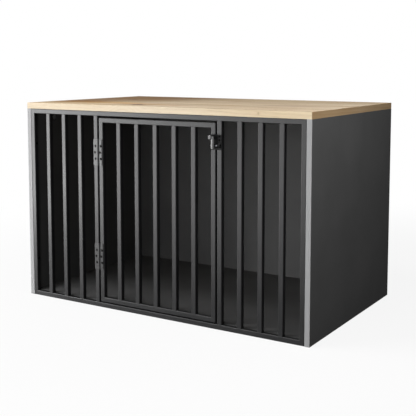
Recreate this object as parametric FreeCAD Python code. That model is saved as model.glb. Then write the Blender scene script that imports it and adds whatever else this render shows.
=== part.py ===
import FreeCAD, Part
import math
import os

# Furniture-style pet crate: a board cabinet with a welded tube front and a hinged barred door.
# Origin at the centre of the base, +X to the right, +Y to the back, +Z up, in millimetres.

# Cabinet boards
cabinet_width = 1000.0
cabinet_depth = 600.0
cabinet_height = 627.0
top_board_thickness = 19.0
side_panel_thickness = 15.0
back_panel_thickness = 15.0
floor_board_thickness = 15.0
edge_band_thickness = 1.0
edge_band_rounding = 0.6
top_edge_rounding = 0.8

# Square tube of the front frame and the door
tube_side = 15.0
tube_wall = 1.5
tube_corner_radius = 2.0
tube_inner_radius = 0.5

# Doorway, door and bars
doorway_width = 425.0
door_gap_side = 5.0
door_gap_top = 5.0
door_gap_bottom = 3.0
door_bar_count = 5
side_bar_count = 3

# Butt hinges, full surface, with a loose pin
hinge_height = 80.0
hinge_knuckle_count = 5
hinge_knuckle_gap = 0.3
hinge_leaf_thickness = 2.0
hinge_frame_leaf_reach = 17.0
hinge_door_leaf_reach = 14.0
hinge_leaf_corner = 1.5
hinge_barrel_radius = 3.2
hinge_barrel_room = 0.6
hinge_axis_proud = 2.6
hinge_pin_radius = 1.75
hinge_pin_clearance = 0.05
hinge_pin_tail = 1.0
hinge_pin_head_radius = 2.7
hinge_pin_head_height = 1.2
hinge_upper_drop = 106.0
hinge_lower_rise = 142.0
hinge_hole_pitch = 19.4
hinge_frame_hole_edge = 5.7
hinge_door_hole_edge = 3.5
hinge_hole_stagger = 2.2

# Countersunk screws of the hinges
hinge_screw_radius = 1.5
hinge_screw_head_radius = 2.7
hinge_screw_head_height = 1.2
hinge_screw_length = 8.0
hinge_screw_socket = 1.6
hinge_screw_socket_depth = 0.9

# Pan-head screws of the latch and the keeper
latch_screw_radius = 1.5
latch_screw_head_radius = 2.6
latch_screw_head_height = 1.6
latch_screw_length = 8.0
latch_screw_socket = 1.1
latch_screw_socket_depth = 1.0

# Pan-head screws that hold the frame between the side panels
frame_screw_radius = 2.0
frame_screw_head_radius = 3.8
frame_screw_head_height = 2.2
frame_screw_length = 27.0
frame_screw_socket = 1.6
frame_screw_socket_depth = 1.3
frame_screw_drop = 112.0
frame_screw_rise = 120.0
screw_fit = 0.05

# Slide bolt, its guide on the door and its keeper on the post
latch_drop = 63.0
latch_plate_thickness = 2.0
latch_plate_margin = 0.5
latch_plate_lap = 3.0
latch_plate_above = 31.0
latch_plate_below = 12.0
latch_plate_corner = 1.5
latch_plate_spacing = 0.5
bolt_radius = 3.5
bolt_plate_gap = 0.4
bolt_clearance = 0.08
bolt_travel = 8.5
bolt_tail_inset = 1.5
bolt_guide_hold = 7.0
bolt_tip_chamfer = 0.8
bolt_keeper_gap = 1.5
guide_wall = 1.5
guide_inset = 1.0
keeper_inset = 3.5
keeper_wall = 1.6
keeper_clearance = 0.4
handle_thickness = 3.0
handle_edge_thickness = 1.0
handle_width = 10.0
handle_above = 26.5
handle_below = 8.0
handle_corner = 1.6
handle_standoff = 0.8
handle_from_guide_start = 10.5
stem_radius = 2.0
stem_depth = 2.5
stem_clearance = 0.05
stem_slot_clearance = 0.3
thumb_tab_width = 6.5
thumb_tab_height = 13.0
thumb_tab_rise = 23.5
thumb_tab_raise = 2.5
thumb_tab_corner = 2.6
thumb_tab_rounding = 2.2
latch_screw_rise = 20.5
base_screw_spread = 7.0
base_screw_from_edge = 3.5
keeper_screw_spread = 10.0

# Cam fittings and dowels at the board joints
cam_radius = 7.5
cam_depth = 12.0
cam_recess = 0.4
cam_setback = 34.0
cam_clearance = 0.1
cam_mouth_radius = 3.6
cam_slot_width = 1.6
cam_slot_length = 9.0
cam_slot_depth = 1.4
cam_bolt_thread_radius = 2.5
cam_bolt_thread_length = 10.5
cam_bolt_shaft_radius = 3.0
cam_bolt_neck_radius = 2.0
cam_bolt_neck_length = 4.5
cam_bolt_head_radius = 3.3
cam_bolt_head_length = 4.0
cam_bolt_clearance = 0.2
dowel_radius = 4.0
dowel_face_depth = 10.0
dowel_edge_depth = 20.0
dowel_clearance = 0.1
dowel_end_room = 0.5
dowel_chamfer = 0.8
dowel_beside_cam = 48.0
top_joint_spread = 380.0
floor_joint_spread = 340.0
back_joint_spread = 330.0

overrun = 1.0

# Planes and places that follow from the sizes above
half_width = cabinet_width / 2
front_y = -cabinet_depth / 2
back_y = cabinet_depth / 2
body_height = cabinet_height - top_board_thickness
inner_half_width = half_width - side_panel_thickness
frame_back_y = front_y + tube_side
tube_mid_y = front_y + tube_side / 2
back_panel_front_y = back_y - back_panel_thickness
half_doorway = doorway_width / 2
post_centre = half_doorway + tube_side / 2
half_door = half_doorway - door_gap_side
door_stile_centre = half_door - tube_side / 2
door_bottom = tube_side + door_gap_bottom
door_top = body_height - tube_side - door_gap_top
hinge_axis_x = -(half_doorway - door_gap_side / 2)
hinge_axis_y = front_y - hinge_axis_proud
hinge_centres = {
    "upper": door_top - hinge_upper_drop,
    "lower": door_bottom + hinge_lower_rise,
}
knuckle_pitch = hinge_height / hinge_knuckle_count
leaf_reaches = {-1: hinge_frame_leaf_reach, 1: hinge_door_leaf_reach}
leaf_hole_lines = {
    -1: hinge_frame_leaf_reach - hinge_frame_hole_edge,
    1: hinge_door_leaf_reach - hinge_door_hole_edge,
}
plate_front_y = front_y - latch_plate_thickness
latch_z = door_top - latch_drop
bolt_y = plate_front_y - bolt_plate_gap - bolt_radius
guide_radius = bolt_radius + bolt_clearance + guide_wall
guide_start = door_stile_centre - tube_side / 2 + latch_plate_margin + guide_inset
guide_end = guide_start + bolt_tail_inset + bolt_travel + bolt_guide_hold
base_plate_left = guide_start - guide_inset
base_plate_right = half_doorway + latch_plate_lap
keeper_plate_left = base_plate_right + latch_plate_spacing
keeper_plate_right = half_doorway + tube_side - latch_plate_margin
keeper_start = keeper_plate_left + keeper_inset
keeper_radius = bolt_radius + keeper_clearance + keeper_wall
bolt_start = guide_start + bolt_tail_inset
bolt_end = keeper_start - bolt_keeper_gap
stem_x = guide_start + handle_from_guide_start
handle_back_y = bolt_y - guide_radius - handle_standoff
latch_screw_z = latch_z + latch_screw_rise

along_x = FreeCAD.Vector(1, 0, 0)
along_y = FreeCAD.Vector(0, 1, 0)
along_z = FreeCAD.Vector(0, 0, 1)
hexagon_sides = 6
parallel_share = 0.999


# Basic shapes

def block(x_range, y_range, z_range):
    sizes = [high - low for low, high in (x_range, y_range, z_range)]
    return Part.makeBox(*sizes, FreeCAD.Vector(x_range[0], y_range[0], z_range[0]))


def edges_along(shape, direction):
    straight = [edge for edge in shape.Edges if isinstance(edge.Curve, (Part.Line, Part.LineSegment))]
    return [edge for edge in straight
            if abs(edge.tangentAt(edge.FirstParameter).dot(direction)) > parallel_share]


def rounded_plate(x_range, y_range, z_range, direction, radius):
    plate = block(x_range, y_range, z_range)
    return plate.makeFillet(radius, edges_along(plate, direction))


def set_along(shape, point, direction):
    shape.Placement = FreeCAD.Placement(point, FreeCAD.Rotation(along_z, direction))
    return shape


def drill(shape, point, direction, length, radius):
    return shape.cut(Part.makeCylinder(radius, length, point, direction))


def hexagon_prism(radius, length):
    corners = []
    for step in range(hexagon_sides + 1):
        turn = math.tau * step / hexagon_sides
        corners.append(FreeCAD.Vector(radius * math.cos(turn), radius * math.sin(turn), 0))
    return Part.Face(Part.makePolygon(corners)).extrude(along_z * length)


# Square tube, hollow, with rounded corners

def tube_along_z(length):
    outer = rounded_plate((0, tube_side), (0, tube_side), (0, length), along_z, tube_corner_radius)
    bore = (tube_wall, tube_side - tube_wall)
    inner = rounded_plate(bore, bore, (-overrun, length + overrun), along_z, tube_inner_radius)
    return outer.cut(inner)


def upright(centre_x, z_low, z_high):
    tube = tube_along_z(z_high - z_low)
    tube.translate(FreeCAD.Vector(centre_x - tube_side / 2, front_y, z_low))
    return tube


def rail(x_low, x_high, z_low):
    tube = tube_along_z(x_high - x_low)
    return set_along(tube, FreeCAD.Vector(x_low, front_y, z_low + tube_side), along_x)


def mitre_prism(corners):
    points = [FreeCAD.Vector(x, front_y - overrun, z) for x, z in corners]
    face = Part.Face(Part.makePolygon(points + points[:1]))
    return face.extrude(along_y * (tube_side + overrun * 2))


def mitred_frame(x_low, x_high, z_low, z_high):
    outer = [(x_low, z_low), (x_high, z_low), (x_high, z_high), (x_low, z_high)]
    inner = [
        (x_low + tube_side, z_low + tube_side),
        (x_high - tube_side, z_low + tube_side),
        (x_high - tube_side, z_high - tube_side),
        (x_low + tube_side, z_high - tube_side),
    ]
    tubes = {
        "bottom": rail(x_low, x_high, z_low),
        "right": upright(x_high - tube_side / 2, z_low, z_high),
        "top": rail(x_low, x_high, z_high - tube_side),
        "left": upright(x_low + tube_side / 2, z_low, z_high),
    }
    for index, side in enumerate(("bottom", "right", "top", "left")):
        after = (index + 1) % len(outer)
        prism = mitre_prism([outer[index], outer[after], inner[after], inner[index]])
        tubes[side] = tubes[side].common(prism)
    return tubes


def bar_centres(x_low, x_high, count):
    clear_gap = (x_high - x_low - count * tube_side) / (count + 1)
    return [x_low + (index + 1) * (clear_gap + tube_side) - tube_side / 2 for index in range(count)]


# Screws, each with its head on the surface at the point and its shank along the direction

def pan_screw(point, direction, radius, head_radius, head_height, length, socket, socket_depth):
    head = Part.makeCylinder(head_radius, head_height, FreeCAD.Vector(0, 0, -head_height))
    rim = [edge for edge in head.Edges if edge.BoundBox.ZMax < -head_height / 2]
    head = head.makeFillet(head_height / 2, rim)
    screw = head.fuse(Part.makeCylinder(radius, length)).removeSplitter()
    recess = hexagon_prism(socket, socket_depth + overrun)
    recess.translate(FreeCAD.Vector(0, 0, -head_height - overrun))
    return set_along(screw.cut(recess), point, direction)


def latch_screw(point):
    return pan_screw(point, along_y, latch_screw_radius, latch_screw_head_radius, latch_screw_head_height,
                     latch_screw_length, latch_screw_socket, latch_screw_socket_depth)


def frame_screw(point, direction):
    return pan_screw(point, direction, frame_screw_radius, frame_screw_head_radius, frame_screw_head_height,
                     frame_screw_length, frame_screw_socket, frame_screw_socket_depth)


def hinge_screw(point):
    head = Part.makeCone(hinge_screw_head_radius, hinge_screw_radius, hinge_screw_head_height)
    screw = head.fuse(Part.makeCylinder(hinge_screw_radius, hinge_screw_length)).removeSplitter()
    recess = hexagon_prism(hinge_screw_socket, hinge_screw_socket_depth + overrun)
    recess.translate(FreeCAD.Vector(0, 0, -overrun))
    return set_along(screw.cut(recess), point, along_y)


def hinge_screw_hole(point):
    head = Part.makeCone(hinge_screw_head_radius + screw_fit, hinge_screw_radius + screw_fit,
                         hinge_screw_head_height)
    shank = Part.makeCylinder(hinge_screw_radius + screw_fit, hinge_screw_length + overrun)
    return set_along(head.fuse(shank), point, along_y)


# Boards

def make_boards():
    upright_span = (0, body_height)
    inner_span = (-inner_half_width, inner_half_width)
    side_depth = (front_y + edge_band_thickness, back_y)
    floor_depth = (frame_back_y, back_panel_front_y)
    return {
        "side_panel_left": block((-half_width, -inner_half_width), side_depth, upright_span),
        "side_panel_right": block((inner_half_width, half_width), side_depth, upright_span),
        "back_panel": block(inner_span, (back_panel_front_y, back_y), upright_span),
        "floor_board": block(inner_span, floor_depth, (0, floor_board_thickness)),
        "top_board": make_top_board(),
        "edge_band_left": make_edge_band(-half_width, -inner_half_width),
        "edge_band_right": make_edge_band(inner_half_width, half_width),
    }


def make_top_board():
    board = block((-half_width, half_width), (front_y, back_y), (body_height, cabinet_height))
    upper = [edge for edge in board.Edges if edge.BoundBox.ZMin > body_height]
    return board.makeFillet(top_edge_rounding, upper + edges_along(board, along_z))


def make_edge_band(x_low, x_high):
    band = block((x_low, x_high), (front_y, front_y + edge_band_thickness), (0, body_height))
    middle = front_y + edge_band_thickness / 2
    front = [edge for edge in edges_along(band, along_z) if edge.BoundBox.YMax < middle]
    return band.makeFillet(edge_band_rounding, front)


# Cam fittings and dowels: the bolt screws into one board's face and the cam turns in the other's edge

def make_cam_bolt(point, inward):
    shaft_length = cam_setback - cam_bolt_neck_length - cam_bolt_head_length / 2
    thread_end = FreeCAD.Vector(0, 0, -cam_bolt_thread_length)
    bolt = Part.makeCylinder(cam_bolt_thread_radius, cam_bolt_thread_length, thread_end)
    bolt = bolt.fuse(Part.makeCylinder(cam_bolt_shaft_radius, shaft_length))
    neck_low = FreeCAD.Vector(0, 0, shaft_length)
    bolt = bolt.fuse(Part.makeCylinder(cam_bolt_neck_radius, cam_bolt_neck_length, neck_low))
    head_low = neck_low + along_z * cam_bolt_neck_length
    bolt = bolt.fuse(Part.makeCylinder(cam_bolt_head_radius, cam_bolt_head_length, head_low))
    return set_along(bolt.removeSplitter(), point, inward)


def make_cam(point, inward, outward, board_thickness):
    face = point + inward * cam_setback + outward * (board_thickness / 2)
    top = face - outward * cam_recess
    cam = Part.makeCylinder(cam_radius, cam_depth - cam_recess, top, -outward)
    reach = cam_setback + cam_bolt_head_length / 2 + cam_bolt_clearance
    cam = drill(cam, point, inward, reach, cam_mouth_radius)
    for angle in (0, 90):
        slot = block((-cam_slot_length / 2, cam_slot_length / 2), (-cam_slot_width / 2, cam_slot_width / 2),
                     (-cam_slot_depth, overrun))
        slot.rotate(FreeCAD.Vector(0, 0, 0), along_z, angle)
        cam = cam.cut(set_along(slot, top, outward))
    return cam


def bore_for_cam(board, point, inward, outward, board_thickness):
    face = point + inward * cam_setback + outward * (board_thickness / 2)
    board = drill(board, face + outward * overrun, -outward, cam_depth + overrun, cam_radius + cam_clearance)
    return drill(board, point - inward * overrun, inward, cam_setback + overrun,
                 cam_bolt_head_radius + cam_bolt_clearance)


def make_dowel(point, inward):
    dowel = Part.makeCylinder(dowel_radius, dowel_face_depth + dowel_edge_depth)
    rims = [edge for edge in dowel.Edges if edge.BoundBox.ZLength < dowel_chamfer]
    dowel = dowel.makeChamfer(dowel_chamfer, rims)
    return set_along(dowel, point - inward * dowel_face_depth, inward)


def dowel_bore(board, point, direction, depth):
    length = depth + dowel_end_room + overrun
    return drill(board, point - direction * overrun, direction, length, dowel_radius + dowel_clearance)


def board_joints():
    mid_panel = half_width - side_panel_thickness / 2
    floor_middle = floor_board_thickness / 2
    back_middle = back_y - back_panel_thickness / 2
    for side, name in ((-1, "side_panel_left"), (1, "side_panel_right")):
        inner = along_x * -side
        inner_x = side * inner_half_width
        for end in (-1, 1):
            back_z = body_height / 2 + end * back_joint_spread / 2
            yield {"face": "top_board", "edge": name, "inward": -along_z, "outward": inner,
                   "along": along_y * end, "thickness": side_panel_thickness,
                   "point": FreeCAD.Vector(side * mid_panel, end * top_joint_spread / 2, body_height)}
            yield {"face": name, "edge": "floor_board", "inward": inner, "outward": -along_z,
                   "along": along_y * end, "thickness": floor_board_thickness,
                   "point": FreeCAD.Vector(inner_x, end * floor_joint_spread / 2, floor_middle)}
            yield {"face": name, "edge": "back_panel", "inward": inner, "outward": along_y,
                   "along": along_z * end, "thickness": back_panel_thickness,
                   "point": FreeCAD.Vector(inner_x, back_middle, back_z)}


def join_boards(boards):
    cams, bolts, dowels = [], [], []
    for joint in board_joints():
        point = joint["point"]
        inward = joint["inward"]
        beside = point - joint["along"] * dowel_beside_cam
        face, edge = joint["face"], joint["edge"]
        cams.append(make_cam(point, inward, joint["outward"], joint["thickness"]))
        bolts.append(make_cam_bolt(point, inward))
        dowels.append(make_dowel(beside, inward))
        boards[face] = drill(boards[face], point + inward * overrun, -inward,
                             cam_bolt_thread_length + overrun, cam_bolt_thread_radius + screw_fit)
        boards[edge] = bore_for_cam(boards[edge], point, inward, joint["outward"], joint["thickness"])
        boards[face] = dowel_bore(boards[face], beside, -inward, dowel_face_depth)
        boards[edge] = dowel_bore(boards[edge], beside, inward, dowel_edge_depth)
    return {"cam_locks": cams, "cam_bolts": bolts, "wood_dowels": dowels}


# Front frame, fixed between the side panels

def make_front_frame(boards):
    tubes = mitred_frame(-inner_half_width, inner_half_width, 0, body_height)
    nodes = {
        "frame_bottom_rail": tubes["bottom"],
        "frame_top_rail": tubes["top"],
        "door_post_left": upright(-post_centre, tube_side, body_height - tube_side),
        "door_post_right": upright(post_centre, tube_side, body_height - tube_side),
    }
    stile_inner = inner_half_width - tube_side
    left_bars = bar_centres(-stile_inner, -half_doorway - tube_side, side_bar_count)
    right_bars = bar_centres(half_doorway + tube_side, stile_inner, side_bar_count)
    for index, centre in enumerate(left_bars + right_bars):
        nodes["frame_bar_" + str(index + 1)] = upright(centre, tube_side, body_height - tube_side)
    screws = []
    for side, hand in ((-1, "left"), (1, "right")):
        stile = tubes[hand]
        panel = "side_panel_" + hand
        outward = along_x * side
        for height in (frame_screw_rise, body_height - frame_screw_drop):
            seat = FreeCAD.Vector(side * stile_inner, tube_mid_y, height)
            screws.append(frame_screw(seat, outward))
            hole_radius = frame_screw_radius + screw_fit
            stile = drill(stile, seat - outward * overrun, outward, tube_side + overrun * 2, hole_radius)
            boards[panel] = drill(boards[panel], seat, outward, frame_screw_length + screw_fit, hole_radius)
        nodes["frame_stile_" + hand] = stile
    nodes["frame_screws"] = screws
    return nodes


def make_door_frame():
    tubes = mitred_frame(-half_door, half_door, door_bottom, door_top)
    nodes = {
        "door_bottom_rail": tubes["bottom"],
        "door_top_rail": tubes["top"],
        "door_hinge_stile": tubes["left"],
        "door_latch_stile": tubes["right"],
    }
    stile_inner = half_door - tube_side
    for index, centre in enumerate(bar_centres(-stile_inner, stile_inner, door_bar_count)):
        nodes["door_bar_" + str(index + 1)] = upright(centre, door_bottom + tube_side, door_top - tube_side)
    return nodes


# Hinges: two leaves with interleaved knuckles round a loose pin

def knuckle_spans(centre_z, first):
    low = centre_z - hinge_height / 2
    spans = []
    for index in range(first, hinge_knuckle_count, 2):
        base = low + index * knuckle_pitch
        spans.append((base + hinge_knuckle_gap / 2, base + knuckle_pitch - hinge_knuckle_gap / 2))
    return spans


def hinge_rod(radius, z_low, z_high):
    return Part.makeCylinder(radius, z_high - z_low, FreeCAD.Vector(hinge_axis_x, hinge_axis_y, z_low))


def leaf_holes(side, centre_z):
    # the middle hole is the outer one on the frame leaf and the inner one on the door leaf
    points = []
    for step in (-1, 0, 1):
        inner = (step == 0) == (side > 0)
        reach = leaf_hole_lines[side] - (hinge_hole_stagger if inner else 0)
        x = hinge_axis_x + side * reach
        points.append(FreeCAD.Vector(x, front_y - hinge_leaf_thickness, centre_z + step * hinge_hole_pitch))
    return points


def make_leaf(side, centre_z):
    z_low = centre_z - hinge_height / 2
    z_high = centre_z + hinge_height / 2
    reach = leaf_reaches[side]
    tip = hinge_axis_x + side * reach
    leaf = block(sorted((hinge_axis_x, tip)), (front_y - hinge_leaf_thickness, front_y), (z_low, z_high))
    outer_edges = [edge for edge in edges_along(leaf, along_y)
                   if abs(edge.BoundBox.Center.x - hinge_axis_x) > reach / 2]
    leaf = leaf.makeFillet(hinge_leaf_corner, outer_edges)
    own = knuckle_spans(centre_z, 0 if side < 0 else 1)
    leaf = leaf.cut(hinge_rod(hinge_barrel_radius + hinge_barrel_room, z_low - overrun, z_high + overrun))
    web_tip = hinge_axis_x + side * (hinge_barrel_radius + hinge_barrel_room * 2)
    for low, high in own:
        web = block(sorted((hinge_axis_x, web_tip)), (front_y - hinge_leaf_thickness, front_y), (low, high))
        leaf = leaf.fuse(web).fuse(hinge_rod(hinge_barrel_radius, low, high))
    leaf = leaf.removeSplitter()
    leaf = leaf.cut(hinge_rod(hinge_pin_radius + hinge_pin_clearance, z_low - overrun, z_high + overrun))
    for point in leaf_holes(side, centre_z):
        leaf = leaf.cut(hinge_screw_hole(point))
    return leaf


def make_hinge_pin(centre_z):
    z_low = centre_z - hinge_height / 2 - hinge_pin_tail
    z_high = centre_z + hinge_height / 2 - hinge_knuckle_gap / 2
    head = hinge_rod(hinge_pin_head_radius, z_high, z_high + hinge_pin_head_height)
    rim = [edge for edge in head.Edges if edge.BoundBox.ZMin > z_high]
    head = head.makeFillet(hinge_pin_head_height / 2, rim)
    return head.fuse(hinge_rod(hinge_pin_radius, z_low, z_high)).removeSplitter()


def make_hinges(frame, door):
    nodes = {"hinge_frame_screws": [], "hinge_door_screws": []}
    sides = (("frame", -1, frame, "door_post_left"), ("door", 1, door, "door_hinge_stile"))
    for place, centre_z in hinge_centres.items():
        nodes["hinge_" + place + "_pin"] = make_hinge_pin(centre_z)
        for owner, side, tubes, tube in sides:
            nodes["hinge_" + place + "_" + owner + "_leaf"] = make_leaf(side, centre_z)
            for point in leaf_holes(side, centre_z):
                nodes["hinge_" + owner + "_screws"].append(hinge_screw(point))
                tubes[tube] = drill(tubes[tube], point, along_y, hinge_leaf_thickness + tube_side / 2,
                                    hinge_screw_radius + screw_fit)
    return nodes


# Latch: a bolt that slides in an open guide on the door and enters a closed keeper on the post

def arch(x_low, x_high, radius):
    length = x_high - x_low
    barrel = Part.makeCylinder(radius, length, FreeCAD.Vector(x_low, bolt_y, latch_z), along_x)
    foot = block((x_low, x_high), (bolt_y, plate_front_y), (latch_z - radius, latch_z + radius))
    body = barrel.fuse(foot)
    behind = block((x_low - overrun, x_high + overrun),
                   (front_y - latch_plate_thickness / 2, front_y + radius),
                   (latch_z - radius - overrun, latch_z + radius + overrun))
    return body.cut(behind)


def latch_plate(x_low, x_high):
    z_range = (latch_z - latch_plate_below, latch_z + latch_plate_above)
    return rounded_plate((x_low, x_high), (plate_front_y, front_y), z_range, along_y, latch_plate_corner)


def bolt_bore(shape, radius):
    start = FreeCAD.Vector(guide_start - overrun, bolt_y, latch_z)
    return drill(shape, start, along_x, keeper_plate_right - guide_start + overrun * 2, radius)


def base_screw_points():
    first = base_plate_left + base_screw_from_edge
    places = (first, first + base_screw_spread)
    return [FreeCAD.Vector(x, plate_front_y, latch_screw_z) for x in places]


def keeper_screw_points():
    middle = (keeper_plate_left + keeper_plate_right) / 2
    heights = (latch_screw_z - keeper_screw_spread / 2, latch_screw_z + keeper_screw_spread / 2)
    return [FreeCAD.Vector(middle, plate_front_y, z) for z in heights]


def make_latch_base():
    body = latch_plate(base_plate_left, base_plate_right).fuse(arch(guide_start, guide_end, guide_radius))
    body = bolt_bore(body.removeSplitter(), bolt_radius + bolt_clearance)
    slot_half = stem_radius + stem_slot_clearance
    slot = block((guide_start - overrun, guide_end + overrun), (bolt_y - guide_radius - overrun, bolt_y),
                 (latch_z - slot_half, latch_z + slot_half))
    body = body.cut(slot)
    for point in base_screw_points():
        body = drill(body, point, along_y, latch_plate_thickness + overrun, latch_screw_radius + screw_fit)
    return body


def make_keeper():
    body = latch_plate(keeper_plate_left, keeper_plate_right)
    body = body.fuse(arch(keeper_start, keeper_plate_right, keeper_radius)).removeSplitter()
    body = bolt_bore(body, bolt_radius + keeper_clearance)
    for point in keeper_screw_points():
        body = drill(body, point, along_y, latch_plate_thickness + overrun, latch_screw_radius + screw_fit)
    return body


def make_bolt():
    tail = FreeCAD.Vector(bolt_start, bolt_y, latch_z)
    bolt = Part.makeCylinder(bolt_radius, bolt_end - bolt_start, tail, along_x)
    ends = [edge for edge in bolt.Edges if edge.BoundBox.XLength < bolt_tip_chamfer]
    bolt = bolt.makeChamfer(bolt_tip_chamfer, ends)
    seat = FreeCAD.Vector(stem_x, bolt_y - bolt_radius - overrun, latch_z)
    return drill(bolt, seat, along_y, overrun + stem_depth, stem_radius + stem_clearance)


def domed_strip(x_range, y_range, z_range):
    x_low, x_high = x_range
    crown_y, back = y_range
    edge_y = back - handle_edge_thickness
    base_z = z_range[0]
    left = FreeCAD.Vector(x_low, edge_y, base_z)
    right = FreeCAD.Vector(x_high, edge_y, base_z)
    crown = FreeCAD.Vector((x_low + x_high) / 2, crown_y, base_z)
    back_corners = [FreeCAD.Vector(x_low, back, base_z), FreeCAD.Vector(x_high, back, base_z)]
    flat_sides = Part.makePolygon([left] + back_corners + [right])
    front = Part.Arc(right, crown, left).toShape()
    section = Part.Face(Part.Wire(flat_sides.Edges + [front]))
    return section.extrude(along_z * (z_range[1] - base_z))


def make_handle():
    y_range = (handle_back_y - handle_thickness, handle_back_y)
    grip_x = (stem_x - handle_width / 2, stem_x + handle_width / 2)
    grip_z = (latch_z - handle_below, latch_z + handle_above)
    grip = rounded_plate(grip_x, y_range, grip_z, along_y, handle_corner)
    grip = grip.common(domed_strip(grip_x, y_range, grip_z))
    tab_x = (grip_x[0] - thumb_tab_width, grip_x[0] + handle_corner * 2)
    tab_middle = latch_z + thumb_tab_rise
    tab_z = (tab_middle - thumb_tab_height / 2, tab_middle + thumb_tab_height / 2)
    tab_front = y_range[0] - thumb_tab_raise
    tab = rounded_plate(tab_x, (tab_front, y_range[1]), tab_z, along_y, thumb_tab_corner)
    front = [edge for edge in tab.Edges if edge.BoundBox.YMax < tab_front + thumb_tab_raise / 2]
    tab = tab.makeFillet(thumb_tab_rounding, front)
    seat_y = bolt_y - bolt_radius + stem_depth
    stem = Part.makeCylinder(stem_radius, seat_y - y_range[0] - handle_thickness / 2,
                             FreeCAD.Vector(stem_x, y_range[0] + handle_thickness / 2, latch_z), along_y)
    return grip.fuse(tab).fuse(stem).removeSplitter()


def make_latch(frame, door):
    nodes = {
        "latch_base": make_latch_base(),
        "latch_keeper": make_keeper(),
        "latch_bolt": make_bolt(),
        "latch_handle": make_handle(),
        "latch_screws": [latch_screw(point) for point in base_screw_points()],
        "keeper_screws": [latch_screw(point) for point in keeper_screw_points()],
    }
    seats = (
        (base_screw_points(), door, "door_latch_stile"),
        (keeper_screw_points(), frame, "door_post_right"),
    )
    for points, tubes, tube in seats:
        for point in points:
            tubes[tube] = drill(tubes[tube], point, along_y, latch_plate_thickness + tube_side / 2,
                                latch_screw_radius + screw_fit)
    return nodes


def main():
    boards = make_boards()
    fittings = join_boards(boards)
    frame = make_front_frame(boards)
    door = make_door_frame()
    hinges = make_hinges(frame, door)
    latch = make_latch(frame, door)
    os.makedirs("parts", exist_ok=True)
    for group in (boards, fittings, frame, door, hinges, latch):
        for node, shape in group.items():
            solid = Part.makeCompound(shape) if isinstance(shape, list) else shape
            solid.exportStep("parts/" + node + ".step")
            print(node, len(solid.Solids), "solids", round(solid.Volume), "mm3")


main()
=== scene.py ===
import bpy
import math
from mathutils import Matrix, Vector


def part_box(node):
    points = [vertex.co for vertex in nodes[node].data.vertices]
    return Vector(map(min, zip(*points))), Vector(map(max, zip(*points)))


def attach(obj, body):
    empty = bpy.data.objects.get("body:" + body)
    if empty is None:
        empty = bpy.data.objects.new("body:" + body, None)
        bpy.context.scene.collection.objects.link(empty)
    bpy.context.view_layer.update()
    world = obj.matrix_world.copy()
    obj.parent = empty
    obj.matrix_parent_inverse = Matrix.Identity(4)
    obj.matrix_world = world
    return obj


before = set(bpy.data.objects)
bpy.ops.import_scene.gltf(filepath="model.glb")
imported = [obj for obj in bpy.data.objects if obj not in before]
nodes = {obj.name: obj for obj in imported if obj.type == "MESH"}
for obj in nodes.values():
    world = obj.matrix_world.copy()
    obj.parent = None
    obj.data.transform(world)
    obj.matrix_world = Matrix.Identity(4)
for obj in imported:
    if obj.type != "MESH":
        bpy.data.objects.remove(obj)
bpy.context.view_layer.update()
scene = bpy.context.scene
mm = 0.001
white = (1.0, 1.0, 1.0)


# Node trees

class Wire:
    # one socket of a tree; arithmetic on it adds Math nodes
    def __init__(self, bench, socket):
        self.bench = bench
        self.socket = socket

    def math(self, operation, *others):
        return self.bench.math(operation, self, *others)

    def __add__(self, other):
        return self.math("ADD", other)

    def __radd__(self, other):
        return self.bench.math("ADD", other, self)

    def __sub__(self, other):
        return self.math("SUBTRACT", other)

    def __rsub__(self, other):
        return self.bench.math("SUBTRACT", other, self)

    def __mul__(self, other):
        return self.math("MULTIPLY", other)

    def __rmul__(self, other):
        return self.bench.math("MULTIPLY", other, self)

    def __truediv__(self, other):
        return self.math("DIVIDE", other)

    def __rtruediv__(self, other):
        return self.bench.math("DIVIDE", other, self)

    def __abs__(self):
        return self.math("ABSOLUTE")

    def output(self, name):
        # another output of the same node
        return Wire(self.bench, pickSocket(self.socket.node.outputs, name))


def pickSocket(sockets, key):
    # by number, identifier or name
    if isinstance(key, int):
        return sockets[key]
    for socket in sockets:
        if socket.identifier == key or (socket.name == key and socket.enabled):
            return socket
    raise KeyError(key)


def setStops(ramp, stops):
    while len(ramp.elements) < len(stops):
        ramp.elements.new(1.0)
    for element, (place, colour) in zip(ramp.elements, stops):
        element.position = place
        element.color = (*colour, 1.0)


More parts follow.
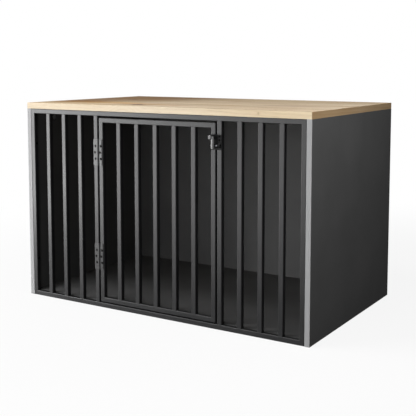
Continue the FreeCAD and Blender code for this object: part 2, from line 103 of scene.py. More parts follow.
class Bench:
    # builds one node tree, for a material, the world or geometry
    def __init__(self, tree):
        self.tree = tree
        tree.nodes.clear()

    def node(self, kind, settings=None, values=None, output=0):
        made = self.tree.nodes.new(kind)
        for name, value in (settings or {}).items():
            if name == "stops":
                setStops(made.color_ramp, value)
            else:
                setattr(made, name, value)
        for key, value in (values or {}).items():
            socket = pickSocket(made.inputs, key)
            if isinstance(value, Wire):
                self.tree.links.new(value.socket, socket)
            elif socket.type == "RGBA":
                socket.default_value = (*value, 1.0)
            else:
                socket.default_value = value
        return Wire(self, pickSocket(made.outputs, output)) if len(made.outputs) else None

    def math(self, operation, *values):
        return self.node("ShaderNodeMath", {"operation": operation}, dict(enumerate(values)))

    def objectPlace(self):
        return self.node("ShaderNodeTexCoord", output="Object")

    def noise(self, place, scale, detail=2.0, rough=0.5):
        return self.node("ShaderNodeTexNoise", {"noise_dimensions": "3D"}, {
            "Vector": place, "Scale": scale, "Detail": detail, "Roughness": rough})

    def stretchedNoise(self, place, scale, start=(0, 0, 0), detail=2.0, rough=0.5):
        # noise with a scale of its own along each axis
        mapped = self.node("ShaderNodeMapping", {}, {"Vector": place, "Scale": scale, "Location": start})
        return self.noise(mapped, 1.0, detail, rough)

    def step(self, value, low, high):
        return self.node("ShaderNodeMapRange", {"interpolation_type": "SMOOTHSTEP"}, {
            "Value": value, "From Min": low, "From Max": high})

    def flattened(self, place, axes):
        # the place with only the axes that are marked 1
        return self.node("ShaderNodeVectorMath", {"operation": "MULTIPLY"}, {0: place, 1: axes})

    def away(self, place, point):
        return self.node("ShaderNodeVectorMath", {"operation": "DISTANCE"}, {0: place, 1: point}, "Value")

    def mixColour(self, factor, first, second, blend="MIX"):
        return self.node("ShaderNodeMix", {"data_type": "RGBA", "blend_type": blend}, {
            "Factor_Float": factor, "A_Color": first, "B_Color": second}, output="Result_Color")

    def mixVector(self, factor, first, second):
        return self.node("ShaderNodeMix", {"data_type": "VECTOR"}, {
            "Factor_Float": factor, "A_Vector": first, "B_Vector": second}, output="Result_Vector")

    def shader(self, height=None, depth=0.0, **values):
        sockets = {name.replace("_", " "): value for name, value in values.items()}
        if height is not None:
            sockets["Normal"] = self.node("ShaderNodeBump", {}, {"Height": height, "Distance": depth})
        return self.node("ShaderNodeBsdfPrincipled", {}, sockets)

    def show(self, shader):
        self.node("ShaderNodeOutputMaterial", {}, {"Surface": shader})

    def surface(self, **values):
        self.show(self.shader(**values))


def swing(noise, spread):
    # a noise from 0 to 1 as a swing about zero
    return (noise - 0.5) * spread


def mixValues(first, second, share):
    # two values in one, the second by its share
    return first * (1 - share) + second * share


def fadeUp(start, amount):
    # from a starting share up to 1, as the amount goes from 0 to 1
    return amount * (1 - start) + start


def newMaterial(name):
    material = bpy.data.materials.new(name)
    material.use_nodes = True
    return material, Bench(material.node_tree)


# Boards

melamine = {
    "dark": (0.0905, 0.0905, 0.0905),
    "light": (0.1105, 0.1105, 0.1105),
    "litInnerDark": (0.113, 0.113, 0.113),   # painted light: the back and the floor are a lighter copy of the board, for more light inside
    "litInnerLight": (0.138, 0.138, 0.138),
    "cloudScale": 5.0,
    "speckScale": 700.0,
    "speckShare": 0.4,        # of the tone, against the clouds
    "toneFrom": 0.3,
    "toneTo": 0.7,
    "pearlScale": 1500.0,
    "pearlDepth": 0.03 * mm,
    "roughness": 0.60,
    "roughSpread": 0.12,
    "specular": 0.006,
}


def melamineMaterial(name, dark, light):
    # graphite board: soft clouding, fine print specks and the pearl of the pressed surface
    material, bench = newMaterial(name)
    place = bench.objectPlace()
    cloud = bench.noise(place, melamine["cloudScale"], detail=4.0)
    speck = bench.noise(place, melamine["speckScale"], detail=2.0)
    pearl = bench.noise(place, melamine["pearlScale"], detail=1.0)
    tone = mixValues(cloud, speck, melamine["speckShare"])
    bench.surface(
        Base_Color=bench.mixColour(bench.step(tone, melamine["toneFrom"], melamine["toneTo"]), dark, light),
        Roughness=swing(speck, melamine["roughSpread"]) + melamine["roughness"],
        Specular_IOR_Level=melamine["specular"],
        height=pearl,
        depth=melamine["pearlDepth"])
    return material


oak = {
    "pale": (0.79, 0.65, 0.47),
    "tan": (0.68, 0.525, 0.345),
    "heart": (0.45, 0.295, 0.165),
    "pore": (0.27, 0.175, 0.105),
    "knot": (0.055, 0.030, 0.018),
    "paleAt": 0.20,           # where the wood colours stand on the scale of tones
    "tanAt": 0.50,
    "heartAt": 0.82,
    "toneStart": -1.37,       # what the rings and the layers of grain add to
    # painted light: the front band is paler than the top because it is lit more
    "litFrontBand": (0.67, 0.585, 0.46),
    "dimFrontEnd": (0.645, 0.537, 0.369),   # painted light: the same band, duller and warmer towards its right end, where less light falls
    "frontShare": 0.72,
    "dimFrom": -0.05,
    "dimTo": 0.45,
    # painted shade: the end bands are darker because the board's sides are in shade
    "shadedEndBand": (0.378, 0.240, 0.115),
    "endShare": 0.75,
    "bandFrom": 0.9 * mm,     # inside the board's sides, where a band starts and where it is full
    "bandFull": 0.4 * mm,
    "pithAcross": 0.05,       # the log's heart runs under the board at a slant, which draws the arches
    "pithDepth": 0.080,
    "pithSlope": 0.055,
    "ringWidth": 6.0 * mm,
    "ringClimb": 0.6,         # the rings widen by this share of the height, so that they show on the edges
    "ringRise": (0.15, 0.80),   # the stretch of a ring in which it darkens
    "ringFall": (0.86, 1.0),    # and the one in which it ends
    "ringTone": 0.2,
    "wanderScale": (1.6, 7.0, 7.0),
    "wanderTurns": 4.5,
    "rippleScale": (9.0, 60.0, 60.0),
    "rippleTurns": 0.5,
    # each layer of grain, with its part in the tone and in the soft edges of the stains
    "layers": {
        "broad": {"scale": (1.7, 8.5, 8.5), "start": (3.1, 0.4, 0.0), "detail": 4.0, "rough": 0.5,
                  "tone": 1.7, "feather": 1.1},
        "streak": {"scale": (2.6, 75.0, 75.0), "start": (0.0, 0.0, 0.0), "detail": 3.0, "rough": 0.5,
                   "tone": 1.1, "feather": 0.9},
        "fibre": {"scale": (10.0, 420.0, 420.0), "start": (0.0, 0.0, 0.0), "detail": 3.0, "rough": 0.65,
                  "tone": 0.5, "feather": 0.7},
    },
    "poreScale": (34.0, 1500.0, 1500.0),
    "poreEdge": (0.60, 0.72),
    "poreLeast": 0.3,         # share of the pores between the rings
    "poreShare": 0.5,
    "poreDepth": 0.12 * mm,
    "poreHeight": 0.8,        # shares of that depth
    "fibreHeight": 0.2,
    "roughness": 0.5,
    "fibreRough": 0.12,
    "poreRough": 0.2,
    "specular": 0.015,
    # each knot: place on the board, half length along the grain and half width
    "knots": [
        {"place": (-0.115, -0.226, 0.627), "reach": (0.025, 0.031), "dark": 1.0},
        {"place": (0.342, -0.300, 0.619), "reach": (0.003, 0.004), "dark": 0.3},
        {"place": (-0.345, 0.055, 0.627), "reach": (0.026, 0.022), "dark": 0.7},
    ],
    # what the knots have in common; distances count in a knot's own reach
    "knotWood": {
        "raggedScale": 55.0,
        "ragged": 1.1,
        "coreFrom": 0.45,
        "coreTo": 1.10,
        "coreShare": 0.92,
        "rings": 14.0,
        "ringDepth": 0.15,
        "pushReach": 4.0,     # the rings of the board bend round a knot within this distance
        "pushShare": 1.5,
        "haloAlong": 0.06,    # the darker wood round a knot is drawn out along the grain
        "haloAcross": 0.35,
        "haloRagged": 0.3,
        "haloFrom": 0.1,
        "haloTo": 1.1,
        "haloShare": 0.6,
    },
    # each stain or patch of painted light and shade: place, half length, half width and the tint that the
    # wood takes there
    "stainsAndShading": [
        {"place": (-0.44, 0.20), "reach": (0.37, 0.36), "tint": (0.315, 0.212, 0.094)},   # brown heartwood
        {"place": (-0.46, -0.12), "reach": (0.15, 0.12), "tint": (0.68, 0.56, 0.38)},     # its pale rim
        {"place": (-0.30, -0.16), "reach": (0.16, 0.060), "tint": (1.08, 0.90, 0.64)},    # golden
        {"place": (-0.34, -0.28), "reach": (0.22, 0.06), "tint": (0.96, 0.90, 0.78)},     # warm corner
        {"place": (-0.08, -0.20), "reach": (0.14, 0.026), "tint": (0.76, 0.60, 0.47)},    # pink streak
        {"place": (0.11, -0.12), "reach": (0.11, 0.022), "tint": (0.90, 0.82, 0.72)},     # brown streak
        {"place": (0.18, -0.225), "reach": (0.50, 0.085), "tint": (1.09, 1.10, 1.13)},    # painted light along the front of the top
        {"place": (0.16, 0.27), "reach": (0.55, 0.17), "tint": (0.83, 0.78, 0.70)},       # painted shade along the back edge
        {"place": (0.32, -0.06), "reach": (0.12, 0.050), "tint": (0.84, 0.78, 0.76)},     # grey bloom
    ],
    "patchFrom": 0.45,
    "patchTo": 1.35,
}


def oakGrain(bench):
    # the place turned so that the grain runs along X on the face and along each edge band
    place = bench.objectPlace()
    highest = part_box("top_board")[1]
    axes = bench.node("ShaderNodeSeparateXYZ", {}, {"Vector": place})
    onEnd = bench.step(abs(axes), highest.x - oak["bandFrom"], highest.x - oak["bandFull"])
    onFront = bench.step(abs(axes.output("Y")), highest.y - oak["bandFrom"], highest.y - oak["bandFull"])
    turned = bench.node("ShaderNodeCombineXYZ", {}, {
        "X": axes.output("Y"), "Y": axes.output("X"), "Z": axes.output("Z")})
    return bench.mixVector(onEnd, place, turned), onFront, onEnd


def oakKnots(bench, grain, along, across, up):
    # how far the knots push the rings aside, and how dark they make the wood in and round them
    wood = oak["knotWood"]
    ragged = swing(bench.noise(grain, wood["raggedScale"], detail=3.0), wood["ragged"])
    push = 0.0
    dark = 0.0
    halo = 0.0
    for knot in oak["knots"]:
        x, y, z = knot["place"]
        reachAlong, reachAcross = knot["reach"]
        farAlong = (along - x) / reachAlong
        farAcross = (across - y) / reachAcross
        farUp = (up - z) / reachAcross
        alongSquare = farAlong * farAlong
        crossSquare = farAcross * farAcross + farUp * farUp
        far = (alongSquare + crossSquare).math("SQRT")
        tail = (alongSquare * wood["haloAlong"] + crossSquare * wood["haloAcross"]).math("SQRT")
        bend = (1 - bench.step(far, 0.0, wood["pushReach"])) * (reachAcross * wood["pushShare"])
        push = bend * farAcross.math("SIGN") + push
        edge = far + ragged
        core = 1 - bench.step(edge, wood["coreFrom"], wood["coreTo"])
        rings = (edge * wood["rings"]).math("SINE") * wood["ringDepth"] + (1 - wood["ringDepth"])
        dark = core * rings * knot["dark"] + dark
        around = 1 - bench.step(tail + ragged * wood["haloRagged"], wood["haloFrom"], wood["haloTo"])
        halo = around * knot["dark"] + halo
    return push, dark, halo


def oakRings(bench, grain, along, across, up, push):
    # rings of a slanted log, cut flat: 1 in the dark part of each
    fromPith = across - oak["pithAcross"]
    depth = along * oak["pithSlope"] + oak["pithDepth"]
    radius = (fromPith * fromPith + depth * depth).math("SQRT") + up * oak["ringClimb"] + push
    wander = bench.stretchedNoise(grain, oak["wanderScale"], detail=3.0)
    ripple = bench.stretchedNoise(grain, oak["rippleScale"], detail=2.0)
    turns = radius / oak["ringWidth"] + wander * oak["wanderTurns"] + ripple * oak["rippleTurns"]
    growth = turns.math("FRACT")
    return bench.step(growth, *oak["ringRise"]) * (1 - bench.step(growth, *oak["ringFall"]))


def oakStainsAndShading(bench, colour, along, across, feather):
    for patch in oak["stainsAndShading"]:
        x, y = patch["place"]
        reachAlong, reachAcross = patch["reach"]
        farAlong = (along - x) / reachAlong
        farAcross = (across - y) / reachAcross
        far = (farAlong * farAlong + farAcross * farAcross).math("SQRT") + feather
        inside = 1 - bench.step(far, oak["patchFrom"], oak["patchTo"])
        colour = bench.mixColour(inside, colour, patch["tint"], blend="MULTIPLY")
    return colour


def oakMaterial():
    # oak decor: rings, layers of grain, pores, stains, edge bands and knots; the edge bands are painted
    # light at the front and painted shade at the ends
    material, bench = newMaterial("oakDecor")
    grain, onFront, onEnd = oakGrain(bench)
    axes = bench.node("ShaderNodeSeparateXYZ", {}, {"Vector": grain})
    along, across, up = axes, axes.output("Y"), axes.output("Z")
    push, knotDark, knotHalo = oakKnots(bench, grain, along, across, up)
    ring = oakRings(bench, grain, along, across, up, push)

    layers = {}
    tone = ring * oak["ringTone"] + oak["toneStart"]
    feather = 0.0
    for name, layer in oak["layers"].items():
        noise = bench.stretchedNoise(grain, layer["scale"], layer["start"], layer["detail"], layer["rough"])
        tone = tone + noise * layer["tone"]
        feather = swing(noise, layer["feather"]) + feather
        layers[name] = noise
    fibre = layers["fibre"]
    dashes = bench.stretchedNoise(grain, oak["poreScale"], detail=1.0)
    pores = bench.step(dashes, *oak["poreEdge"]) * fadeUp(oak["poreLeast"], ring)

    stops = [(oak["paleAt"], oak["pale"]), (oak["tanAt"], oak["tan"]), (oak["heartAt"], oak["heart"])]
    colour = bench.node("ShaderNodeValToRGB", {"stops": stops}, {"Fac": tone})
    colour = oakStainsAndShading(bench, colour, along, across, feather)
    # painted light: the front band dims from left to right as the light falls off
    frontFalloff = bench.step(along, oak["dimFrom"], oak["dimTo"])
    litFrontTone = bench.mixColour(frontFalloff, oak["litFrontBand"], oak["dimFrontEnd"])
    overlays = [
        # painted light on the front band
        (onFront * oak["frontShare"], litFrontTone),
        # painted shade on the end bands
        (onEnd * oak["endShare"], oak["shadedEndBand"]),
        (knotHalo * oak["knotWood"]["haloShare"], oak["heart"]),
        (pores * oak["poreShare"], oak["pore"]),
        (knotDark * oak["knotWood"]["coreShare"], oak["knot"]),
    ]
    for amount, tint in overlays:
        colour = bench.mixColour(amount, colour, tint)
    bench.surface(
        Base_Color=colour,
        Roughness=swing(fibre, oak["fibreRough"]) + pores * oak["poreRough"] + oak["roughness"],
        Specular_IOR_Level=oak["specular"],
        height=1 - pores * oak["poreHeight"] - fibre * oak["fibreHeight"],
        depth=oak["poreDepth"])
    return material


edgeBand = {
    "light": (0.36, 0.36, 0.365),
    "dark": (0.305, 0.305, 0.31),
    "scrapeScale": (900.0, 900.0, 6.0),
    "scrapeDepth": 0.03 * mm,
    "cloudScale": 9.0,
    "cloudShare": 0.4,        # of the tone, against the scrapes
    "roughness": 0.45,
    "roughSpread": 0.16,
    "specular": 0.10,
}


def edgeBandMaterial():
    # light grey band, scraped flush along its length
    material, bench = newMaterial("greyEdgeBand")
    place = bench.objectPlace()
    scrape = bench.stretchedNoise(place, edgeBand["scrapeScale"], detail=3.0)
    cloud = bench.noise(place, edgeBand["cloudScale"], detail=3.0)
    tone = mixValues(scrape, cloud, edgeBand["cloudShare"])
    bench.surface(
        Base_Color=bench.mixColour(tone, edgeBand["dark"], edgeBand["light"]),
        Roughness=swing(scrape, edgeBand["roughSpread"]) + edgeBand["roughness"],
        Specular_IOR_Level=edgeBand["specular"],
        height=scrape,
        depth=edgeBand["scrapeDepth"])
    return material


# Metal finishes

powderCoat = {
    "deep": (0.006, 0.006, 0.0065),
    "dust": (0.014, 0.014, 0.015),
    # rubbed grey, and also a painted highlight, on the hinge knuckles
    "rubbedAndLit": (0.034, 0.034, 0.035),
    "dustFrom": 0.35,
    "dustTo": 0.75,
    "peelScale": 420.0,
    "peelDepth": 0.05 * mm,
    "speckScale": 1302.0,
    "cloudScale": 12.0,
    "roughness": 0.36,
    "cloudRough": 0.10,
    "speckRough": 0.06,
    "specular": 0.38,
}


def coatShader(bench, place, specular, rub=None):
    # satin black powder coat with a fine orange peel, rubbed to grey where a value for rub is given; that
    # grey is partly a painted highlight
    peel = bench.noise(place, powderCoat["peelScale"], detail=2.0, rough=0.4)
    speck = bench.noise(place, powderCoat["speckScale"], detail=1.0)
    cloud = bench.noise(place, powderCoat["cloudScale"], detail=3.0)
    dusty = bench.step(speck, powderCoat["dustFrom"], powderCoat["dustTo"])
    tone = bench.mixColour(dusty, powderCoat["deep"], powderCoat["dust"])
    if rub is not None:
        tone = bench.mixColour(rub, tone, powderCoat["rubbedAndLit"])
    uneven = swing(cloud, powderCoat["cloudRough"]) + swing(speck, powderCoat["speckRough"])
    return bench.shader(
        Base_Color=tone,
        Roughness=uneven + powderCoat["roughness"],
        Specular_IOR_Level=specular,
        height=peel,
        depth=powderCoat["peelDepth"])


def powderCoatMaterial():
    material, bench = newMaterial("satinPowderCoat")
    bench.show(coatShader(bench, bench.objectPlace(), powderCoat["specular"]))
    return material


hingeCoat = {
    "specular": 0.46,
    "screws": ("hinge_frame_screws", "hinge_door_screws"),
    "screwApart": 6.0 * mm,   # points nearer than this belong to the same screw
    "shadeFrom": 3.3 * mm,      # painted shade: a black ring round each screw head, from its axis outwards, for the shadow of a gap
    "shadeTo": 4.0 * mm,
    "shadeColour": (0.0015, 0.0015, 0.0015),
    "shadeRoughness": 0.9,
    "pin": "hinge_upper_pin",   # both pins stand on one axis
    "rubLitFrom": 3.2 * mm,      # the knuckles round it are rubbed grey as the door turns, and the grey is also a painted highlight on the barrel
    "rubLitTo": 3.8 * mm,
}


def screwPlaces(name):
    # middle of each screw in a group, seen from the front
    groups = []
    for vertex in nodes[name].data.vertices:
        place = Vector((vertex.co.x, 0, vertex.co.z))
        near = [group for group in groups if (group[0] - place).length < hingeCoat["screwApart"]]
        if near:
            near[0].append(place)
        else:
            groups.append([place])
    return [sum(group, Vector()) / len(group) for group in groups]


def hingeMaterial():
    # the frame's coat on the leaves, rubbed grey on the knuckles, which is partly a painted highlight, and
    # with painted shade in a black ring round each screw head
    material, bench = newMaterial("hingeCoat")
    place = bench.objectPlace()
    fromFront = bench.flattened(place, (1, 0, 1))
    toScrews = [bench.away(fromFront, screw) for name in hingeCoat["screws"] for screw in screwPlaces(name)]
    nearest = toScrews[0]
    for other in toScrews[1:]:
        nearest = nearest.math("MINIMUM", other)
    lowest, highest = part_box(hingeCoat["pin"])
    axis = (lowest + highest) / 2
    fromPin = bench.away(bench.flattened(place, (1, 1, 0)), (axis.x, axis.y, 0))
    # rubbed grey knuckles, partly a painted highlight where the barrel catches the light
    rub = 1 - bench.step(fromPin, hingeCoat["rubLitFrom"], hingeCoat["rubLitTo"])
    coat = coatShader(bench, place, hingeCoat["specular"], rub)
    # painted shade: a black, unlit surface in a ring round each screw head
    paintedShade = bench.shader(
        Base_Color=hingeCoat["shadeColour"],
        Roughness=hingeCoat["shadeRoughness"],
        Specular_IOR_Level=0.0)
    shadeMask = bench.step(nearest, hingeCoat["shadeFrom"], hingeCoat["shadeTo"])
    bench.show(bench.node("ShaderNodeMixShader", {}, {0: shadeMask, 1: paintedShade, 2: coat}))
    return material


latchEnamel = {
    "deep": (0.0035, 0.0035, 0.0035),
    "dust": (0.007, 0.007, 0.0075),
    "grainScale": 900.0,
    "grainDepth": 0.03 * mm,
    "cloudScale": 60.0,
    "cloudShare": 0.3,        # of the tone, against the grain
    "roughness": 0.30,
    "roughSpread": 0.14,
    "specular": 0.07,
}


def latchMaterial():
    # matt black of the latch body and keeper
    material, bench = newMaterial("mattBlackLatch")
    place = bench.objectPlace()
    grain = bench.noise(place, latchEnamel["grainScale"], detail=2.0)
    cloud = bench.noise(place, latchEnamel["cloudScale"], detail=2.0)
    tone = mixValues(grain, cloud, latchEnamel["cloudShare"])
    bench.surface(
        Base_Color=bench.mixColour(tone, latchEnamel["deep"], latchEnamel["dust"]),
        Roughness=swing(cloud, latchEnamel["roughSpread"]) + latchEnamel["roughness"],
        Specular_IOR_Level=latchEnamel["specular"],
        height=grain,
        depth=latchEnamel["grainDepth"])
    return material


leverLacquer = {
    "deep": (0.012, 0.012, 0.0125),
    "worn": (0.040, 0.040, 0.041),
    "wornFrom": 0.45,
    "wornTo": 0.75,
    "rubScale": 240.0,
    "hazeScale": 1200.0,
    "hazeDepth": 0.02 * mm,
    "roughness": 0.36,
    "rubRough": 0.16,
    "hazeRough": 0.08,
    "specular": 0.80,
}


def leverMaterial():
    # glossier lacquer of the thumb lever, rubbed a little thin where fingers pull it
    material, bench = newMaterial("leverLacquer")
    place = bench.objectPlace()
    rub = bench.noise(place, leverLacquer["rubScale"], detail=4.0, rough=0.6)
    haze = bench.noise(place, leverLacquer["hazeScale"], detail=1.0)
    worn = bench.step(rub, leverLacquer["wornFrom"], leverLacquer["wornTo"])
    uneven = swing(rub, leverLacquer["rubRough"]) + swing(haze, leverLacquer["hazeRough"])
    bench.surface(
        Base_Color=bench.mixColour(worn, leverLacquer["deep"], leverLacquer["worn"]),
        Roughness=uneven + leverLacquer["roughness"],
        Specular_IOR_Level=leverLacquer["specular"],
        height=haze,
        depth=leverLacquer["hazeDepth"])
    return material


blackOxide = {
    "deep": (0.0015, 0.0015, 0.0015),
    "dust": (0.004, 0.004, 0.004),
    "grainScale": 1200.0,
    "grainDepth": 0.02 * mm,
    "roughness": 0.62,
    "roughSpread": 0.2,
    "specular": 0.01,
}


def oxideMaterial():
    # dull black oxide of the screws
    material, bench = newMaterial("blackOxideScrew")
    place = bench.objectPlace()
    grain = bench.noise(place, blackOxide["grainScale"], detail=2.0)
    bench.surface(
        Base_Color=bench.mixColour(grain, blackOxide["deep"], blackOxide["dust"]),
        Roughness=swing(grain, blackOxide["roughSpread"]) + blackOxide["roughness"],
        Specular_IOR_Level=blackOxide["specular"],
        height=grain,
        depth=blackOxide["grainDepth"])
    return material


pinZinc = {
    "dark": (0.055, 0.055, 0.06),
    "light": (0.13, 0.13, 0.135),
    "lightFrom": 0.3,
    "lightTo": 0.7,
    "bathScale": 260.0,
    "bathDepth": 0.02 * mm,
    "roughness": 0.34,
    "roughSpread": 0.2,
}


def pinMaterial():
    # black zinc of the hinge pins and the bolt, a little uneven as it comes from the bath
    material, bench = newMaterial("blackZincPin")
    place = bench.objectPlace()
    bath = bench.noise(place, pinZinc["bathScale"], detail=4.0, rough=0.6)
    tone = bench.step(bath, pinZinc["lightFrom"], pinZinc["lightTo"])
    bench.surface(
        Base_Color=bench.mixColour(tone, pinZinc["dark"], pinZinc["light"]),
        Roughness=swing(bath, pinZinc["roughSpread"]) + pinZinc["roughness"],
        Metallic=1.0,
        height=bath,
        depth=pinZinc["bathDepth"])
    return material


castZinc = {
    "dark": (0.36, 0.37, 0.38),
    "light": (0.62, 0.63, 0.64),
    "lightFrom": 0.3,
    "lightTo": 0.7,
    "bloomScale": 140.0,
    "gritScale": 1600.0,
    "gritDepth": 0.03 * mm,
    "roughness": 0.36,
    "roughSpread": 0.24,
}


def zincMaterial():
    # die-cast cams and their bolts, with the grey bloom of zinc
    material, bench = newMaterial("castZinc")
    place = bench.objectPlace()
    bloom = bench.noise(place, castZinc["bloomScale"], detail=4.0, rough=0.6)
    grit = bench.noise(place, castZinc["gritScale"], detail=1.0)
    tone = bench.step(bloom, castZinc["lightFrom"], castZinc["lightTo"])
    bench.surface(
        Base_Color=bench.mixColour(tone, castZinc["dark"], castZinc["light"]),
        Roughness=swing(bloom, castZinc["roughSpread"]) + castZinc["roughness"],
        Metallic=1.0,
        height=grit,
        depth=castZinc["gritDepth"])
    return material


beech = {
    "pale": (0.66, 0.49, 0.32),
    "dark": (0.47, 0.31, 0.18),
    "fleckScale": 300.0,
    "fleckDepth": 0.05 * mm,
    "cloudScale": 40.0,
    "cloudShare": 0.4,        # of the tone, against the flecks
    "roughness": 0.62,
    "roughSpread": 0.1,
}


def beechMaterial():
    # raw beech dowels with short flecks
    material, bench = newMaterial("rawBeech")
    place = bench.objectPlace()
    fleck = bench.noise(place, beech["fleckScale"], detail=3.0)
    cloud = bench.noise(place, beech["cloudScale"], detail=2.0)
    tone = mixValues(fleck, cloud, beech["cloudShare"])
    bench.surface(
        Base_Color=bench.mixColour(tone, beech["pale"], beech["dark"]),
        Roughness=swing(fleck, beech["roughSpread"]) + beech["roughness"],
        height=fleck,
        depth=beech["fleckDepth"])
    return material


finishes = {
    "graphite_board": melamineMaterial("graphiteMelamine", melamine["dark"], melamine["light"]),
    "litInnerBoard": melamineMaterial("litInnerMelamine", melamine["litInnerDark"], melamine["litInnerLight"]),
    "oak_board": oakMaterial(),
    "edge_band": edgeBandMaterial(),
    "black_paint": powderCoatMaterial(),
    "dark_steel": pinMaterial(),
    "latch_black": latchMaterial(),
    "zinc": zincMaterial(),
    "beech": beechMaterial(),
    "hinge": hingeMaterial(),
    "lever": leverMaterial(),
    "oxide": oxideMaterial(),
}
# the inner boards are a lighter copy, painted light for more light inside, the leaves have their own coat,
# the lever is glossier than the latch body, the bolt is zinc as the pins are and the screws are blackened
ownFinish = {
    "back_panel": "litInnerBoard",
    "floor_board": "litInnerBoard",
    "hinge_upper_frame_leaf": "hinge",
    "hinge_lower_frame_leaf": "hinge",
    "hinge_upper_door_leaf": "hinge",
    "hinge_lower_door_leaf": "hinge",
    "latch_handle": "lever",
    "latch_bolt": "dark_steel",
    "frame_screws": "oxide",
    "latch_screws": "oxide",
    "keeper_screws": "oxide",
    "hinge_frame_screws": "oxide",
    "hinge_door_screws": "oxide",
}

for name, node in nodes.items():
    slotName = ownFinish.get(name, node.material_slots[0].material.name)
    for slot in node.material_slots:
        slot.material = finishes[slotName]
print("finishes:", len(finishes), "materials on the CAD nodes")


# Weld beads where the bars and posts meet the rails

weldBead = {
    "radius": 1.15 * mm,
    "sides": 8,
    "inset": 0.75 * mm,       # the bead's centre lies this far inside the bar's faces
    "sideLift": 0.35 * mm,    # above the rail's flat, beside the bar
    "frontDrop": 0.75 * mm,   # below it, over the rail's rounded edge
    "pathSteps": 16,          # points of the path round each bar's end
    "squareness": 8,          # power of the path's rounded square
    "dropSharpness": 4,       # power by which the path drops from the sides to the front and back
    "ripplePitch": 1.6 * mm,
    "rippleSteps": 4,         # rings of the bead in one ripple
    "rippleShare": 0.10,
    "unevenScale": 700.0,
    "unevenShare": 0.25,
    # each piece: the body that it rides, how its bars' names start, and its seed
    "pieces": {
        "frameWelds": {"body": "cabinet", "bars": ("frame_bar_", "door_post_"), "seed": 3},
        "doorWelds": {"body": "door", "bars": ("door_bar_",), "seed": 5},
    },
}


def beadTree():
    # a rippled bead along each path
    tree = bpy.data.node_groups.new("weldBead", "GeometryNodeTree")
    sockets = {
        "Geometry": "NodeSocketGeometry",
        "Radius": "NodeSocketFloat",
        "Pitch": "NodeSocketFloat",
        "Ripple": "NodeSocketFloat",
        "Seed": "NodeSocketInt",
        "Sides": "NodeSocketInt",
        "Material": "NodeSocketMaterial",
    }
    for name, kind in sockets.items():
        tree.interface.new_socket(name, in_out="INPUT", socket_type=kind)
    tree.interface.new_socket("Geometry", in_out="OUTPUT", socket_type="NodeSocketGeometry")
    bench = Bench(tree)
    given = bench.node("NodeGroupInput", output="Geometry")
    pitch = given.output("Pitch")
    path = bench.node("GeometryNodeMeshToCurve", {}, {"Mesh": given})
    path = bench.node("GeometryNodeResampleCurve", {"mode": "LENGTH"}, {
        "Curve": path, "Length": pitch / weldBead["rippleSteps"]})
    length = bench.node("GeometryNodeSplineParameter", output="Length")
    place = bench.node("GeometryNodeInputPosition")
    uneven = bench.node("ShaderNodeTexNoise", {"noise_dimensions": "4D"}, {
        "Vector": place, "W": given.output("Seed"), "Scale": weldBead["unevenScale"], "Detail": 1.0})
    ripple = (length / pitch * math.tau).math("SINE") * given.output("Ripple")
    size = ripple + swing(uneven, weldBead["unevenShare"]) + 1
    path = bench.node("GeometryNodeSetCurveRadius", {}, {"Curve": path, "Radius": size})
    section = bench.node("GeometryNodeCurvePrimitiveCircle", {"mode": "RADIUS"}, {
        "Resolution": given.output("Sides"), "Radius": given.output("Radius")})
    bead = bench.node("GeometryNodeCurveToMesh", {}, {
        "Curve": path, "Profile Curve": section, "Fill Caps": True})
    bead = bench.node("GeometryNodeSetShadeSmooth", {}, {"Geometry": bead})
    bead = bench.node("GeometryNodeRealizeInstances", {}, {"Geometry": bead})
    bead = bench.node("GeometryNodeSetMaterial", {}, {
        "Geometry": bead, "Material": given.output("Material")})
    bench.node("NodeGroupOutput", {}, {"Geometry": bead})
    return tree


def weldLoop(barName, railTop, facing):
    # a closed path round a bar's end, a little lower over the rail's rounded front and back edges
    lowest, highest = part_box(barName)
    centre = (lowest + highest) / 2
    half = (highest.x - lowest.x) / 2 - weldBead["inset"]
    steps = weldBead["pathSteps"]
    square = weldBead["squareness"]
    sharp = weldBead["dropSharpness"]
    points = []
    for step in range(steps):
        turn = math.tau * (step + 0.5) / steps
        cosine = math.cos(turn)
        sine = math.sin(turn)
        reach = half / (abs(cosine) ** square + abs(sine) ** square) ** (1 / square)
        frontness = abs(sine) ** sharp / (abs(sine) ** sharp + abs(cosine) ** sharp)
        lift = weldBead["sideLift"] * (1 - frontness) - weldBead["frontDrop"] * frontness
        points.append((centre.x + reach * cosine, centre.y + reach * sine, railTop + facing * lift))
    return points


def pathMesh(name, loops):
    points = [point for loop in loops for point in loop]
    edges = []
    first = 0
    for loop in loops:
        edges += [(first + step, first + (step + 1) % len(loop)) for step in range(len(loop))]
        first += len(loop)
    mesh = bpy.data.meshes.new(name)
    mesh.from_pydata(points, edges, [])
    piece = bpy.data.objects.new(name, mesh)
    scene.collection.objects.link(piece)
    return piece


def growTree(piece, tree, values):
    # runs the tree on the piece and keeps the plain mesh that it makes
    modifier = piece.modifiers.new(tree.name, "NODES")
    modifier.node_group = tree
    inputs = {item.name: item.identifier for item in tree.interface.items_tree if item.in_out == "INPUT"}
    for name, value in values.items():
        modifier[inputs[name]] = value
    bpy.context.view_layer.update()
    graph = bpy.context.evaluated_depsgraph_get()
    mesh = bpy.data.meshes.new_from_object(piece.evaluated_get(graph))
    piece.modifiers.clear()
    piece.data = mesh
    return piece


def weldBars(pieceName, body, barNames, seed):
    # a bead round both ends of each bar, in one piece for the body
    loops = []
    for name in barNames:
        lowest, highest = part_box(name)
        loops.append(weldLoop(name, lowest.z, 1))
        loops.append(weldLoop(name, highest.z, -1))
    piece = growTree(pathMesh(pieceName, loops), beadTree(), {
        "Radius": weldBead["radius"], "Pitch": weldBead["ripplePitch"], "Ripple": weldBead["rippleShare"],
        "Seed": seed, "Sides": weldBead["sides"], "Material": finishes["black_paint"]})
    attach(piece, body)
    print(pieceName + ":", len(loops), "welds,", len(piece.data.polygons), "faces")


for name, weld in weldBead["pieces"].items():
    weldBars(name, weld["body"], sorted(bar for bar in nodes if bar.startswith(weld["bars"])), weld["seed"])


# Floor, world and light

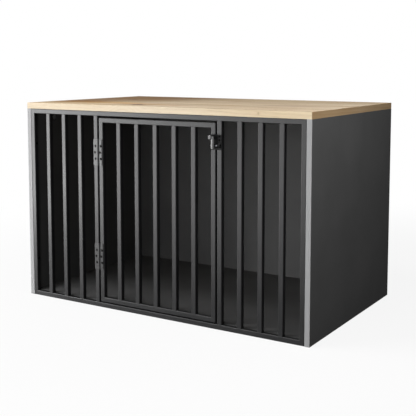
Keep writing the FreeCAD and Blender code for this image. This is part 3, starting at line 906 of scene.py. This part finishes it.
studio = {
    "floorHalf": 30.0,
    "floorLevel": -0.5 * mm,
    "floorColour": (0.82, 0.82, 0.82),
    "floorBounce": (0.08, 0.08, 0.08),   # grey that the floor throws back on the crate
    "floorGlow": 0.88,        # share of plain white that the camera sees in the floor beside the crate
    "floorSheen": 0.33,       # the same share in reflections
    "fadeCentre": (0.55, 0.10, 0.0),
    "fadeFrom": 0.8,          # from this distance the floor pales to white
    "fadeTo": 2.4,
    "sheenFrom": 0.68,        # reflections pale sooner
    "sheenTo": 1.5,
    "worldLevel": 0.05,
    "lamps": {
        "sideSoftbox": {
            "place": (-4.42, -3.82, 0.80), "aim": (0.0, -0.3, 0.5), "size": (2.3, 1.5), "power": 198.0},
        "leftSoftbox": {
            "place": (-3.0, -0.75, 0.95), "aim": (0.0, -0.3, 0.4), "size": (1.5, 1.7), "power": 20.0},
        "rightSoftbox": {
            "place": (1.25, -0.42, 1.25), "aim": (0.5, -0.1, 0.45), "size": (0.5, 0.5), "power": 6.5},
        "leftStrip": {
            "place": (-1.30, -1.20, 0.19), "aim": (-0.3, -0.3, 0.25), "size": (0.5, 0.36), "power": 4.4},
        "lowStrip": {
            "place": (-0.95, -1.65, 0.17), "aim": (-0.1, -0.3, 0.25), "size": (1.6, 0.30), "power": 6.0},
        "backStrip": {
            "place": (-0.45, 2.7, 0.32), "aim": (-0.1, 0.3, 0.28), "size": (1.8, 0.5), "power": 26.0},
        "frontFill": {
            "place": (-1.5, -4.1, 1.3), "aim": (0.0, 0.0, 0.35), "size": (3.4, 2.6), "power": 38.0},
        "highFront": {
            "place": (-0.90, -1.02, 2.75), "aim": (0.0, -0.2, 0.4), "size": (1.1, 0.7), "power": 32.0},
        "insideFill": {
            "place": (0.57, -1.47, 0.66), "aim": (0.2, 0.1, 0.18), "size": (0.7, 0.24), "power": 3.5},
        "panelStrip": {
            "place": (0.95, -0.35, 0.59), "aim": (0.5, -0.15, 0.5), "size": (0.30, 0.05), "power": 0.34},
    },
}


def makeFloor():
    # pale floor that keeps the crate's shadow, and fades to white away from it
    half = studio["floorHalf"]
    level = studio["floorLevel"]
    corners = [(-half, -half, level), (half, -half, level), (half, half, level), (-half, half, level)]
    mesh = bpy.data.meshes.new("floor")
    mesh.from_pydata(corners, [], [(0, 1, 2, 3)])
    floor = bpy.data.objects.new("floor", mesh)
    scene.collection.objects.link(floor)
    material, bench = newMaterial("paleFloor")
    distance = bench.away(bench.objectPlace(), studio["fadeCentre"])
    rays = bench.node("ShaderNodeLightPath", output="Is Camera Ray")
    mirrored = rays.output("Is Glossy Ray").math("MAXIMUM", rays.output("Is Transmission Ray"))
    shown = fadeUp(studio["floorGlow"], bench.step(distance, studio["fadeFrom"], studio["fadeTo"]))
    sheen = fadeUp(studio["floorSheen"], bench.step(distance, studio["sheenFrom"], studio["sheenTo"]))
    glow = (rays * shown).math("MAXIMUM", mirrored * sheen)
    tone = bench.mixColour(rays, studio["floorBounce"], studio["floorColour"])
    plain = bench.node("ShaderNodeBsdfDiffuse", {}, {"Color": tone})
    bright = bench.node("ShaderNodeEmission", {}, {"Color": white, "Strength": 1.0})
    bench.show(bench.node("ShaderNodeMixShader", {}, {0: glow, 1: plain, 2: bright}))
    mesh.materials.append(material)


def makeWorld():
    # white to the camera and in reflections, and dim as a light
    world = bpy.data.worlds.new("studio")
    scene.world = world
    world.use_nodes = True
    bench = Bench(world.node_tree)
    rays = bench.node("ShaderNodeLightPath", output="Is Camera Ray")
    mirrored = rays.output("Is Glossy Ray").math("MAXIMUM", rays.output("Is Transmission Ray"))
    level = fadeUp(studio["worldLevel"], rays.math("MAXIMUM", mirrored))
    sky = bench.node("ShaderNodeBackground", {}, {"Color": white, "Strength": level})
    bench.node("ShaderNodeOutputWorld", {}, {"Surface": sky})


def makeLamp(name, place, aim, size, power):
    data = bpy.data.lights.new(name, "AREA")
    data.shape = "RECTANGLE"
    data.size, data.size_y = size
    data.energy = power
    lamp = bpy.data.objects.new(name, data)
    lamp.location = place
    lamp.rotation_euler = (Vector(aim) - Vector(place)).to_track_quat("-Z", "Y").to_euler()
    lamp.visible_camera = False
    scene.collection.objects.link(lamp)


makeFloor()
makeWorld()
for name, lamp in studio["lamps"].items():
    makeLamp(name, lamp["place"], lamp["aim"], lamp["size"], lamp["power"])
print("studio: floor, world and", len(studio["lamps"]), "lamps")


# Camera

viewpoint = {
    "place": (1.407, -2.274, 0.754),
    "yaw": 31.80,
    "pitchDown": 5.67,        # degrees below level
    "lens": 72.27,
    "shiftY": -0.15,
}
cameraData = bpy.data.cameras.new("camera")
cameraData.lens = viewpoint["lens"]
cameraData.shift_y = viewpoint["shiftY"]
camera = bpy.data.objects.new("camera", cameraData)
camera.location = viewpoint["place"]
camera.rotation_euler = (math.radians(90 - viewpoint["pitchDown"]), 0, math.radians(viewpoint["yaw"]))
scene.collection.objects.link(camera)
scene.camera = camera
scene.view_settings.view_transform = "Standard"
print("camera:", viewpoint["lens"], "mm lens")
